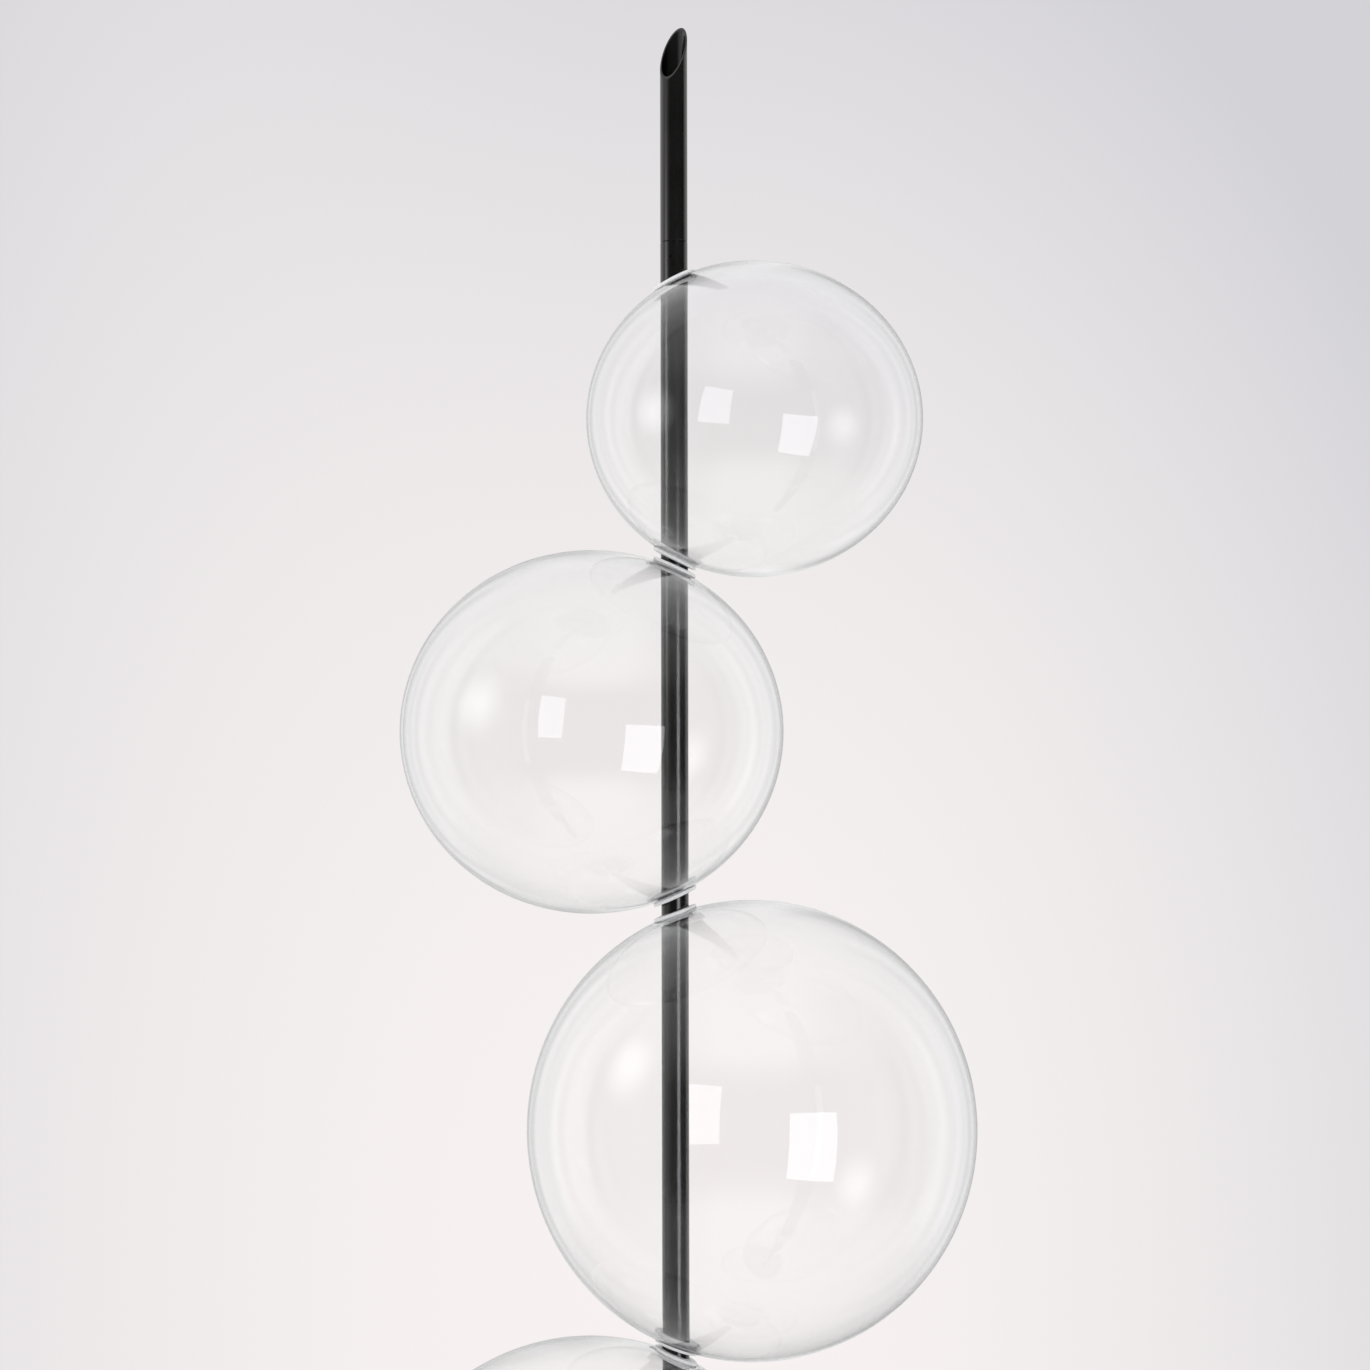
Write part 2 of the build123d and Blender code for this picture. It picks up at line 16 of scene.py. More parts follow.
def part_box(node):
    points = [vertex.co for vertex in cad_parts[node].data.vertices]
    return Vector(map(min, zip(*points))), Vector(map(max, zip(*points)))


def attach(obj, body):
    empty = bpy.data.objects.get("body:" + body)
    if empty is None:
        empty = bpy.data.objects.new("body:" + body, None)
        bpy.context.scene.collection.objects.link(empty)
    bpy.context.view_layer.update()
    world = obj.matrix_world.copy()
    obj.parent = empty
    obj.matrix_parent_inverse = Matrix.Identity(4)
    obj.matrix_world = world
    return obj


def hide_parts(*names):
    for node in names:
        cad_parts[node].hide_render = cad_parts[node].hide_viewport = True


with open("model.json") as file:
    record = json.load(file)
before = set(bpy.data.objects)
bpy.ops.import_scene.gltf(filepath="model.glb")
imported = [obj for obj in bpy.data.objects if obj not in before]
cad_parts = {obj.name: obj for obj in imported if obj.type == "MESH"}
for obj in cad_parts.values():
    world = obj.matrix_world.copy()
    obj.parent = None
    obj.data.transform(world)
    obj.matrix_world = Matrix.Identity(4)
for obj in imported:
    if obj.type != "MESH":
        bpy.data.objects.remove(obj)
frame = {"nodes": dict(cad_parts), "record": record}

bl_info = {
    "name": "Five-light floor lamp",
    "version": (1, 0, 0),
    "blender": (4, 5, 0),
    "location": "View3D > Sidebar > Floor lamp",
    "description": "Dresses the CAD model of a floor lamp with glass, bronze and studio light",
    "category": "Object",
}

GLOBES = [f"globe_{number}" for number in range(1, 6)]
ROUND_STEPS = 48


def length(name, description, default):
    """A size in metres that a user can change."""
    return FloatProperty(name=name, description=description, default=default, unit="LENGTH", precision=5)


def colour(name, description, default):
    """A linear colour that a user can change."""
    return FloatVectorProperty(
        name=name, description=description, default=default, size=3, subtype="COLOR", min=0, max=1
    )


def number(name, description, default):
    """A plain number that a user can change."""
    return FloatProperty(name=name, description=description, default=default)


class GlassSettings(PropertyGroup):
    """Sizes and finish of the blown globes."""

    wall: length("Wall", "Thickness of the glass", 0.0025)
    hole: length("Hole", "Width of the holes that the tube passes through", 0.030)
    columns: IntProperty(name="Columns", description="Faces around the tube", default=192, min=24)
    rows: IntProperty(
        name="Rows", description="Faces from the upper hole to the lower one", default=96, min=12
    )
    tint: colour("Tint", "Colour of the glass", (0.996, 0.998, 0.998))
    ripple: length("Ripple", "Depth of the blown surface's faint waves", 0.00005)


class SealSettings(PropertyGroup):
    """Sizes and finish of the clear seals in the globes' holes."""

    bore: length("Bore", "Width of the hole for the tube", 0.0216)
    neck: length("Neck", "Width of the part that sits in the glass", 0.0298)
    lip: length("Lip width", "Width over the lips", 0.0332)
    lip_height: length("Lip height", "How far each lip stands off the glass", 0.0026)
    play: length("Play", "Gap between the lips and the glass", 0.0001)
    edge: length("Edge", "Rounding of the lips", 0.0008)
    tint: colour("Tint", "Colour of the clear plastic", (0.98, 0.98, 0.98))


class TubeSettings(PropertyGroup):
    """Sizes and finish of the dark tube."""

    diameter: length("Diameter", "Outer width of the tube", 0.0214)
    wall: length("Wall", "Thickness of the tube", 0.0015)
    easing: length("Easing", "Chamfer at the seams", 0.0005)
    cut_rise: length("Cut rise", "Height of the slanted cut", 0.044)
    cut_turn: FloatProperty(
        name="Cut turn", description="Turn of the cut to the left", default=radians(33), subtype="ANGLE"
    )
    bronze: colour("Bronze", "Colour of the burnished metal", (0.0032, 0.0027, 0.0024))
    sheen: number("Sheen", "Roughness of the burnished metal", 0.16)


class BaseSettings(PropertyGroup):
    """Sizes of the turned pieces of the base."""

    cover_edge: length("Cover edge", "Rounding of the cover's rim", 0.007)
    cover_wall: length("Cover wall", "Thickness of the cover", 0.002)
    socket_flange: length("Socket flange", "Thickness of the socket's flange", 0.005)
    socket_width: length("Socket", "Width of the socket around the tube", 0.034)
    ring_edge: length("Ring edge", "Rounding of the cover ring", 0.0015)
    button_width: length("Foot button", "Width of the foot button's cap", 0.034)
    button_skirt: length("Button skirt", "Height of the cap's hidden skirt", 0.003)
    pad_edge: length("Pad edge", "Rounding of the foot pad", 0.001)
    inlet_head: length("Inlet head", "Length of the cord inlet's head", 0.007)
    inlet_body: length("Inlet body", "Width of the cord inlet inside the base", 0.012)
    inlet_bore: length("Inlet bore", "Width of the cord inlet's hole", 0.0072)


class StudioSettings(PropertyGroup):
    """Camera, background and lamps."""

    camera_distance: length("Camera distance", "From the tube to the camera", 2.985)
    camera_height: length("Camera height", "Height of the camera above the floor", 1.583)
    camera_lens: number("Lens", "Focal length in millimetres", 100.0)
    camera_roll: FloatProperty(
        name="Roll", description="Turn of the camera about its own axis", default=-0.0018, subtype="ANGLE"
    )
    camera_aside: length("Camera aside", "Place of the camera right of the tube", 0.0081)
    glow: colour("Backdrop middle", "Backdrop behind the lamp", (0.93, 0.887, 0.88))
    shade: colour("Backdrop edge", "Backdrop far from the lamp", (0.651, 0.644, 0.681))
    floor: colour("Floor", "Colour of the floor", (0.62, 0.61, 0.61))
    daylight: number("Daylight", "Brightness of the plain light from all round", 1.3)
    window: number("Window light", "Brightness of the large light low on the right", 2.1)
    umbrella: number("Umbrella", "Brightness of the soft glow on the left", 1.6)
    window_tone: colour("Window tone", "Colour of the window light", (0.93, 0.93, 1.0))


class LampSettings(PropertyGroup):
    """All settings of the lamp."""

    glass: PointerProperty(type=GlassSettings)
    seal: PointerProperty(type=SealSettings)
    tube: PointerProperty(type=TubeSettings)
    base: PointerProperty(type=BaseSettings)
    studio: PointerProperty(type=StudioSettings)


def settings():
    """The settings of the scene that is being built."""
    return bpy.context.scene.floor_lamp


# Node trees

def plug(tree, socket, value):
    """Feed a node's input with a fixed value or with another node's output."""
    source = getattr(value, "socket", value)
    if isinstance(source, bpy.types.NodeSocket):
        tree.links.new(source, socket)
    else:
        socket.default_value = source


def add_node(tree, kind, inputs=(), **options):
    """Add a node, set its options and feed its inputs."""
    node = tree.nodes.new(kind)
    for name, value in options.items():
        setattr(node, name, value)
    for name, value in dict(inputs).items():
        plug(tree, node.inputs[name], value)
    return node


class Value:
    """A number in a node tree. Arithmetic on it adds Math nodes."""

    def __init__(self, tree, socket):
        self.tree = tree
        self.socket = socket

    def apply(self, operation, *others):
        node = add_node(self.tree, "ShaderNodeMath", operation=operation)
        for socket, value in zip(node.inputs, (self, *others)):
            plug(self.tree, socket, value)
        return Value(self.tree, node.outputs[0])

    def __add__(self, other):
        return self.apply("ADD", other)

    def __sub__(self, other):
        return self.apply("SUBTRACT", other)

    def __mul__(self, other):
        return self.apply("MULTIPLY", other)

    def __truediv__(self, other):
        return self.apply("DIVIDE", other)

    def squared(self):
        return self.apply("MULTIPLY", self)

    def root(self):
        return self.apply("SQRT")

    def sine(self):
        return self.apply("SINE")

    def cosine(self):
        return self.apply("COSINE")

    def angle(self):
        return self.apply("ARCCOSINE")

    def larger(self, other):
        return self.apply("MAXIMUM", other)

    def smaller(self, other):
        return self.apply("MINIMUM", other)

    def size(self):
        return self.apply("ABSOLUTE")

    def ramp(self, start, end, low=0.0, high=1.0):
        """Ease from low to high as this value goes from start to end."""
        spread = {"Value": self, "From Min": start, "From Max": end, "To Min": low, "To Max": high}
        node = add_node(self.tree, "ShaderNodeMapRange", spread, interpolation_type="SMOOTHSTEP")
        return Value(self.tree, node.outputs[0])


def xyz(tree, vector):
    """The three numbers of a vector."""
    node = add_node(tree, "ShaderNodeSeparateXYZ", {"Vector": vector})
    return [Value(tree, socket) for socket in node.outputs]


def open_tree(name, kind, inputs, outputs):
    """A new node group with named sockets, its input values, and the node that takes its results."""
    tree = bpy.data.node_groups.new(name, kind)
    for socket_name, socket_kind in inputs.items():
        tree.interface.new_socket(socket_name, in_out="INPUT", socket_type=socket_kind)
    for socket_name, socket_kind in outputs.items():
        tree.interface.new_socket(socket_name, in_out="OUTPUT", socket_type=socket_kind)
    given = add_node(tree, "NodeGroupInput")
    values = {socket_name: Value(tree, given.outputs[socket_name]) for socket_name in inputs}
    return tree, values, add_node(tree, "NodeGroupOutput")


# Blown globes

def globe_tree():
    """Geometry Nodes for a blown globe: two walls around the tube, joined by a round rim at each hole."""
    sizes = ("Width", "Height", "Offset", "Centre Height", "Wall", "Hole")
    inputs = {name: "NodeSocketFloat" for name in sizes}
    inputs |= {"Columns": "NodeSocketInt", "Rows": "NodeSocketInt", "Material": "NodeSocketMaterial"}
    outputs = {"Mesh": "NodeSocketGeometry"}
    tree, given, result = open_tree("Blown globe", "GeometryNodeTree", inputs, outputs)
    width, height, offset, centre, wall, hole = (given[name] for name in sizes)
    rim_radius = (hole + wall) / 2

    def sheet(rows):
        """A flat grid, with each point's turn about the tube and its share of the way up."""
        across = {"Vertices X": given["Columns"] + 1, "Vertices Y": rows}
        grid = add_node(tree, "GeometryNodeMeshGrid", across)
        turn_share, rise_share, _ = xyz(tree, grid.outputs["UV Map"])
        return grid.outputs["Mesh"], turn_share * tau, rise_share

    def section(turn, inset):
        """The wall's ellipse in the upright plane at this turn: middle, half axes and the hole's angle."""
        half_width = width / 2 - inset
        middle = offset * turn.cosine()
        across = (half_width.squared() - (offset * turn.sine()).squared()).root()
        up = across * (height / 2 - inset) / half_width
        return middle, across, up, ((rim_radius - middle) / across).angle()

    def bend(mesh, turn, radius, rise):
        """Move the grid's points out to their radius and height."""
        parts = {"X": radius * turn.cosine(), "Y": radius * turn.sine(), "Z": rise + centre}
        place = add_node(tree, "ShaderNodeCombineXYZ", parts)
        bent = add_node(tree, "GeometryNodeSetPosition", {"Geometry": mesh, "Position": place.outputs[0]})
        return bent.outputs[0]

    def wall_surface(inset, direction):
        mesh, turn, share = sheet(given["Rows"] + 1)
        middle, across, up, hole_angle = section(turn, inset)
        angle = hole_angle * (share * (2 * direction) - direction)
        return bend(mesh, turn, middle + across * angle.cosine(), up * angle.sine())

    def rim(side):
        mesh, turn, share = sheet(9)
        _, _, outer_up, outer_angle = section(turn, 0.0)
        _, _, inner_up, inner_angle = section(turn, wall)
        outer = outer_up * outer_angle.sine()
        inner = inner_up * inner_angle.sine()
        arc = share * pi
        rise = (outer + inner) / 2 * side + (outer - inner) / 2 * arc.cosine()
        return bend(mesh, turn, rim_radius - wall / 2 * arc.sine(), rise)

    joined = add_node(tree, "GeometryNodeJoinGeometry")
    for mesh in (wall_surface(0.0, 1), rim(1), wall_surface(wall, -1), rim(-1)):
        tree.links.new(mesh, joined.inputs[0])
    whole = add_node(tree, "GeometryNodeMergeByDistance", {"Geometry": joined.outputs[0], "Distance": 1e-5})
    smooth = add_node(tree, "GeometryNodeSetShadeSmooth", {"Geometry": whole.outputs[0]})
    real = add_node(tree, "GeometryNodeRealizeInstances", {"Geometry": smooth.outputs[0]})
    finish = {"Geometry": real.outputs[0], "Material": given["Material"]}
    plug(tree, result.inputs["Mesh"], add_node(tree, "GeometryNodeSetMaterial", finish).outputs[0])
    return tree


def grow(tree, name, values):
    """Run a Geometry Nodes tree with these values and keep the result as a plain mesh."""
    seed = bpy.data.objects.new(f"{name}_seed", bpy.data.meshes.new(f"{name}_seed"))
    bpy.context.scene.collection.objects.link(seed)
    modifier = seed.modifiers.new("Shape", "NODES")
    modifier.node_group = tree
    for socket in tree.interface.items_tree:
        if socket.in_out == "INPUT" and socket.name in values:
            modifier[socket.identifier] = values[socket.name]
    bpy.context.view_layer.update()
    evaluated = seed.evaluated_get(bpy.context.evaluated_depsgraph_get())
    mesh = bpy.data.meshes.new_from_object(evaluated)
    bpy.data.objects.remove(seed)
    return show(name, mesh)


def show(name, mesh):
    """Put a finished mesh in the scene."""
    mesh.name = name
    piece = bpy.data.objects.new(name, mesh)
    bpy.context.scene.collection.objects.link(piece)
    return piece


def globe_shape(node):
    """Outer width and height of a globe, its offset from the tube and its centre's height."""
    low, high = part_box(node)
    return max(high.x - low.x, high.y - low.y), high.z - low.z, (low.x + high.x) / 2, (low.z + high.z) / 2


class LAMP_OT_globes(Operator):
    """Blow the five clear glass globes around the tube"""

    bl_idname = "lamp.globes"
    bl_label = "Globes"

    def execute(self, context):
        glass = settings().glass
        tree = globe_tree()
        material = finish("clear_glass")
        for node in GLOBES:
            width, height, offset, centre = globe_shape(node)
            values = {"Width": width, "Height": height, "Offset": offset, "Centre Height": centre}
            values |= {"Wall": glass.wall, "Hole": glass.hole, "Columns": glass.columns, "Rows": glass.rows}
            piece = grow(tree, f"{node}_glass", values | {"Material": material})
            piece.visible_shadow = False  # clear glass throws next to no shadow
            mount(piece, node, node)
        return {"FINISHED"}


# Skinned and turned pieces

def rounded(corners, steps=5):
    """An outline from corners (radius, height, rounding), each turned by an arc where it has a rounding."""
    outline = []
    for index, (x, z, rounding) in enumerate(corners):
        corner = Vector((x, z))
        if not rounding:
            outline.append(tuple(corner))
            continue
        before = (Vector(corners[index - 1][:2]) - corner).normalized()
        after = (Vector(corners[(index + 1) % len(corners)][:2]) - corner).normalized()
        half = before.angle(after) / 2
        centre = corner + (before + after).normalized() * rounding / sin(half)
        start = corner + before * rounding / (sin(half) / cos(half)) - centre
        turn = (pi - 2 * half) * (1 if before.cross(after) < 0 else -1)
        for step in range(steps + 1):
            outline.append(tuple(centre + Matrix.Rotation(turn * step / steps, 2) @ start))
    return outline


def skin(name, outline, columns, place, closed=True):
    """Sweep an outline of (radius, height) once around the tube, each point put where place says."""
    mesh = bpy.data.meshes.new(name)
    turns = [tau * column / columns for column in range(columns)]
    points = [place(radius, height, turn) for radius, height in outline for turn in turns]
    faces = []
    for row in range(len(outline) if closed else len(outline) - 1):
        here = row * columns
        above = (row + 1) % len(outline) * columns
        for column in range(columns):
            following = (column + 1) % columns
            faces.append((here + column, here + following, above + following, above + column))
    mesh.from_pydata(points, [], faces)
    work = bmesh.new()
    work.from_mesh(mesh)
    bmesh.ops.recalc_face_normals(work, faces=work.faces)
    work.to_mesh(mesh)
    work.free()
    mesh.shade_smooth()
    mesh.set_sharp_from_angle(angle=radians(30))
    return show(name, mesh)


def upright(radius, height, turn):
    """A point at this radius, height and turn about the tube's axis."""
    return radius * cos(turn), radius * sin(turn), height


def turned(name, node, corners, columns=128, place=upright):
    """A turned piece that stands for a CAD node, from its section's corners."""
    piece = skin(name, rounded(corners), columns, place)
    paint(piece, node)
    return piece


def cut(piece, cutters):
    """Take the cutters away from a piece and keep the result as a plain mesh."""
    for cutter in cutters:
        modifier = piece.modifiers.new("Cut", "BOOLEAN")
        modifier.object = cutter
        modifier.solver = "EXACT"
    bpy.context.view_layer.update()
    evaluated = piece.evaluated_get(bpy.context.evaluated_depsgraph_get())
    mesh = bpy.data.meshes.new_from_object(evaluated)
    piece.modifiers.clear()
    piece.data = mesh
    mesh.set_sharp_from_angle(angle=radians(30))
    for cutter in cutters:
        bpy.data.objects.remove(cutter)
    return piece


def bar(width, rise, depth, frame_matrix):
    """A cutter: a round-ended bar of this width and overall rise, this deep, along the matrix's Z."""
    work = bmesh.new()
    straight = (rise - width) / 2
    ring = []
    for step in range(ROUND_STEPS):
        turn = tau * (step + 0.5) / ROUND_STEPS
        end = straight if sin(turn) > 0 else -straight
        ring.append(work.verts.new((width / 2 * cos(turn), width / 2 * sin(turn) + end, 0)))
    face = work.faces.new(ring)
    moved = bmesh.ops.extrude_face_region(work, geom=[face])["geom"]
    far_end = [vertex for vertex in moved if isinstance(vertex, bmesh.types.BMVert)]
    bmesh.ops.translate(work, vec=(0, 0, depth), verts=far_end)
    bmesh.ops.recalc_face_normals(work, faces=work.faces)
    work.transform(frame_matrix)
    mesh = bpy.data.meshes.new("cutter")
    work.to_mesh(mesh)
    work.free()
    return show("cutter", mesh)


def round_off(mesh, radii):
    """Shade the walls of a tube as true rounds: their normals point straight from the axis."""
    normals = []
    for polygon in mesh.polygons:
        for index in polygon.vertices:
            x, y, _ = mesh.vertices[index].co
            radial = Vector((x, y, 0)).normalized()
            facing = polygon.normal.dot(radial)
            on_wall = any(abs(hypot(x, y) - radius) < 5e-5 for radius in radii)
            if on_wall and abs(facing) > 0.9:
                normals.append(radial if facing > 0 else -radial)
            else:
                normals.append(polygon.normal)
    mesh.normals_split_custom_set(normals)


class LAMP_OT_seals(Operator):
    """Make the clear seals with their lips, fitted to each globe's slope"""

    bl_idname = "lamp.seals"
    bl_label = "Seals"

    def execute(self, context):
        seal = settings().seal
        wall = settings().glass.wall
        bore, neck, lip = seal.bore / 2, seal.neck / 2, seal.lip / 2
        top = seal.lip_height
        under = -wall - seal.lip_height
        corners = [
            (bore, under, seal.edge / 2), (lip, under, seal.edge), (lip, -wall - seal.play, seal.edge),
            (neck, -wall - seal.play, 0), (neck, seal.play, 0), (lip, seal.play, seal.edge),
            (lip, top, seal.edge), (bore, top, seal.edge / 2),
        ]
        for node in GLOBES:
            width, height, offset, centre = globe_shape(node)

            def drape(radius, level, turn, side):
                """A point this far outside the glass, on the upper (1) or lower (-1) side."""
                across = hypot(radius * cos(turn) - offset, radius * sin(turn)) / (width / 2 + level)
                rise = side * (height / 2 + level) * sqrt(1 - across**2)
                return radius * cos(turn), radius * sin(turn), centre + rise

            for side, word in ((1, "upper"), (-1, "lower")):
                def place(radius, level, turn, side=side):
                    return drape(radius, level, turn, side)

                stand_in = f"{node}_{word}_seal"
                mount(turned(f"{stand_in}_clear", stand_in, corners, 96, place), stand_in, node)
        return {"FINISHED"}


class LAMP_OT_tube(Operator):
    """Draw the dark tube: its lower, main and slanted top lengths"""

    bl_idname = "lamp.tube"
    bl_label = "Tube"

    def execute(self, context):
        tube = settings().tube
        outer = tube.diameter / 2
        inner = outer - tube.wall
        ease = tube.easing
        screw_low, screw_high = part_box("coupler_screws")
        screw_radius = 0.00155
        screw_turn = radians(14)

        def length_of_tube(node):
            low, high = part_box(node)
            corners = [
                (outer - ease, low.z, 0), (outer, low.z + ease, 0), (outer, high.z - ease, 0),
                (outer - ease, high.z, 0), (inner, high.z, 0), (inner, low.z, 0),
            ]
            return turned(f"{node}_bronze", node, corners)

        def screw_hole(height):
            turned_to_front = Matrix.Translation((0, 0, height)) @ Matrix.Rotation(-screw_turn, 4, "Z")
            aim = turned_to_front @ Matrix.Rotation(pi / 2, 4, "X")
            return bar(2 * screw_radius, 2 * screw_radius, tube.diameter, aim)

        slots = []
        for node in GLOBES:
            low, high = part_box(f"{node}_diffuser")
            fit = 0.00015
            back = Matrix.Translation((0, 0, (low.z + high.z) / 2)) @ Matrix.Rotation(-pi / 2, 4, "X")
            slots.append(bar(high.x - low.x + 2 * fit, high.z - low.z + 2 * fit, tube.diameter, back))

        lower = cut(length_of_tube("lower_tube"), [screw_hole(screw_low.z + screw_radius)])
        main = cut(length_of_tube("main_tube"), slots + [screw_hole(screw_high.z - screw_radius)])

        low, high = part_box("finial_tube")
        slope = tube.cut_rise / tube.diameter
        tip_turn = pi / 2 - tube.cut_turn

        def finial_place(radius, height, turn):
            """Heights above the seam are kept below it and laid on the slanted plane above it."""
            if height < high.z - tube.cut_rise:
                return upright(radius, height, turn)
            return upright(radius, height - tube.cut_rise / 2 + slope * radius * cos(turn - tip_turn), turn)

        corners = [
            (outer - ease, low.z, 0), (outer, low.z + ease, 0), (outer, high.z - 2 * ease, 0),
            (outer - ease / 2, high.z, 0), (inner + ease / 2, high.z, 0), (inner, high.z - 2 * ease, 0),
            (inner, low.z, 0),
        ]
        finial = turned("finial_tube_bronze", "finial_tube", corners, place=finial_place)
        for node, piece in (("lower_tube", lower), ("main_tube", main), ("finial_tube", finial)):
            round_off(piece.data, (outer, inner))
            mount(piece, node, "stand")
        return {"FINISHED"}


class LAMP_OT_base(Operator):
    """Turn the base: pad, cover, ring, socket, foot button and cord inlet"""

    bl_idname = "lamp.base"
    bl_label = "Base"

    def execute(self, context):
        base = settings().base
        tube_radius = settings().tube.diameter / 2
        pad_low, pad_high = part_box("foot_pad")
        edge = base.pad_edge
        pad = turned("foot_pad_felt", "foot_pad", [
            (0.0001, pad_low.z, 0), (pad_high.x, pad_low.z, edge), (pad_high.x, pad_high.z, edge),
            (0.0001, pad_high.z, 0),
        ])
        mount(pad, "foot_pad", "stand")

        low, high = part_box("base_cover")
        rim = high.x
        hole = base.socket_width / 2 + 0.0003
        wall = base.cover_wall
        cover = turned("base_cover_bronze", "base_cover", [
            (rim, low.z, wall / 4), (rim, high.z, base.cover_edge),
            (hole, high.z, 0), (hole, high.z - wall, 0),
            (rim - wall, high.z - wall, base.cover_edge - wall), (rim - wall, low.z, wall / 4),
        ], 256)
        button_low, button_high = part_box("foot_button")
        button_x = (button_low.x + button_high.x) / 2
        well_width = base.button_width + 0.001
        well_depth = 0.05
        well = bar(well_width, well_width, well_depth, Matrix.Translation((button_x, 0, 0.02)))
        mount(cut(cover, [well]), "base_cover", "stand")

        low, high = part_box("cover_ring")
        ring_bore = base.socket_width / 2 + 0.00005
        mount(turned("cover_ring_bronze", "cover_ring", [
            (high.x, low.z, 0), (high.x, high.z, base.ring_edge),
            (ring_bore, high.z, 0), (ring_bore, low.z, 0),
        ]), "cover_ring", "stand")

        low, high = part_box("stem_socket")
        neck = base.socket_width / 2
        flange = low.z + base.socket_flange
        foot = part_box("lower_tube")[0].z
        mount(turned("stem_socket_bronze", "stem_socket", [
            (0.007, low.z, 0), (high.x, low.z, 0), (high.x, flange, 0), (neck, flange, 0),
            (neck, high.z, 0.001), (tube_radius + 0.00005, high.z, 0.0004), (tube_radius + 0.00005, foot, 0),
            (0.007, foot, 0),
        ]), "stem_socket", "stand")

        cap = base.button_width / 2
        skirt = button_low.z + base.button_skirt

        def button_place(radius, height, turn):
            x, y, z = upright(radius, height, turn)
            return x + button_x, y, z

        mount(turned("foot_button_cap", "foot_button", [
            (0.0001, button_low.z, 0), (button_high.x - button_x, button_low.z, 0),
            (button_high.x - button_x, skirt, 0), (cap, skirt, 0), (cap, button_high.z, 0.002),
            (cap * 0.72, button_high.z, 0.001), (cap * 0.68, button_high.z - 0.0006, 0.001),
            (0.0001, button_high.z - 0.0006, 0),
        ], place=button_place), "foot_button", "foot_cap")

        low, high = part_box("cord_inlet")
        inlet_z = (low.z + high.z) / 2
        head = (high.z - low.z) / 2
        shoulder = high.y - base.inlet_head

        def inlet_place(radius, depth, turn):
            x, z, y = upright(radius, depth, turn)
            return x, y, z + inlet_z

        mount(turned("cord_inlet_bush", "cord_inlet", [
            (base.inlet_bore / 2, low.y, 0), (base.inlet_body / 2, low.y, 0),
            (base.inlet_body / 2, shoulder, 0),
            (head, shoulder, 0.0005), (head, high.y, 0.0015), (base.inlet_bore / 2, high.y, 0.0008),
        ], 64, inlet_place), "cord_inlet", "stand")
        return {"FINISHED"}


class LAMP_OT_fittings(Operator):
    """Finish the fittings that keep their CAD shape: screws, sleeves, lights, driver, switch and wiring"""

    bl_idname = "lamp.fittings"
    bl_label = "Fittings"

    def execute(self, context):
        for node, piece in frame["nodes"].items():
            if not piece.hide_render:
                paint(piece, node)
        return {"FINISHED"}


# Finishes

def mottle_group():
    """Soft blotches at two sizes, for metal that was burnished or cast by hand."""
    inputs = {"Size": "NodeSocketFloat", "Softness": "NodeSocketFloat"}
    tree, given, result = open_tree("Mottle", "ShaderNodeTree", inputs, {"Mask": "NodeSocketFloat"})
    place = add_node(tree, "ShaderNodeTexCoord").outputs["Object"]
    coarse = {"Vector": place, "Scale": given["Size"].apply("POWER", -1.0), "Detail": 3.0}
    broad = Value(tree, add_node(tree, "ShaderNodeTexNoise", coarse).outputs["Fac"])
    fine_size = {"Vector": place, "Scale": given["Size"].apply("POWER", -1.0) * 7.0, "Detail": 4.0}
    fine = Value(tree, add_node(tree, "ShaderNodeTexNoise", fine_size).outputs["Fac"])
    mask = (broad * 0.65 + fine * 0.35).ramp(0.35, 0.65)
    plug(tree, result.inputs["Mask"], mask * (given["Softness"] * -1.0 + 1.0) + given["Softness"] * 0.5)
    return tree


def grain_group():
    """Fine lines along one direction, as drawing, turning or brushing leaves them."""
    inputs = {"Stretch": "NodeSocketVector", "Scale": "NodeSocketFloat"}
    tree, given, result = open_tree("Grain", "ShaderNodeTree", inputs, {"Lines": "NodeSocketFloat"})
    place = add_node(tree, "ShaderNodeTexCoord").outputs["Object"]
    stretched = add_node(tree, "ShaderNodeMapping", {"Vector": place, "Scale": given["Stretch"]})
    lines = {"Vector": stretched.outputs[0], "Scale": given["Scale"], "Detail": 4.0, "Roughness": 0.6}
    noise = add_node(tree, "ShaderNodeTexNoise", lines)
    plug(tree, result.inputs["Lines"], noise.outputs["Fac"])
    return tree


def ripple_group():
    """Slow waves with faint bands, as breath and turning leave them in blown glass."""
    inputs = {"Size": "NodeSocketFloat"}
    tree, given, result = open_tree("Blown ripple", "ShaderNodeTree", inputs, {"Height": "NodeSocketFloat"})
    place = add_node(tree, "ShaderNodeTexCoord").outputs["Object"]
    waves = {"Vector": place, "Scale": given["Size"].apply("POWER", -1.0), "Detail": 1.0}
    plug(tree, result.inputs["Height"], add_node(tree, "ShaderNodeTexNoise", waves).outputs["Fac"])
    return tree


def shared(name, make):
    """A shader group that is built once."""
    return bpy.data.node_groups.get(name) or make()


def place_group(tree, name, make, **inputs):
    """Put a shared effect in a material with its own values, and give its result."""
    node = add_node(tree, "ShaderNodeGroup", node_tree=shared(name, make))
    for socket_name, value in inputs.items():
        plug(tree, node.inputs[socket_name.replace("_", " ")], value)
    return Value(tree, node.outputs[0])


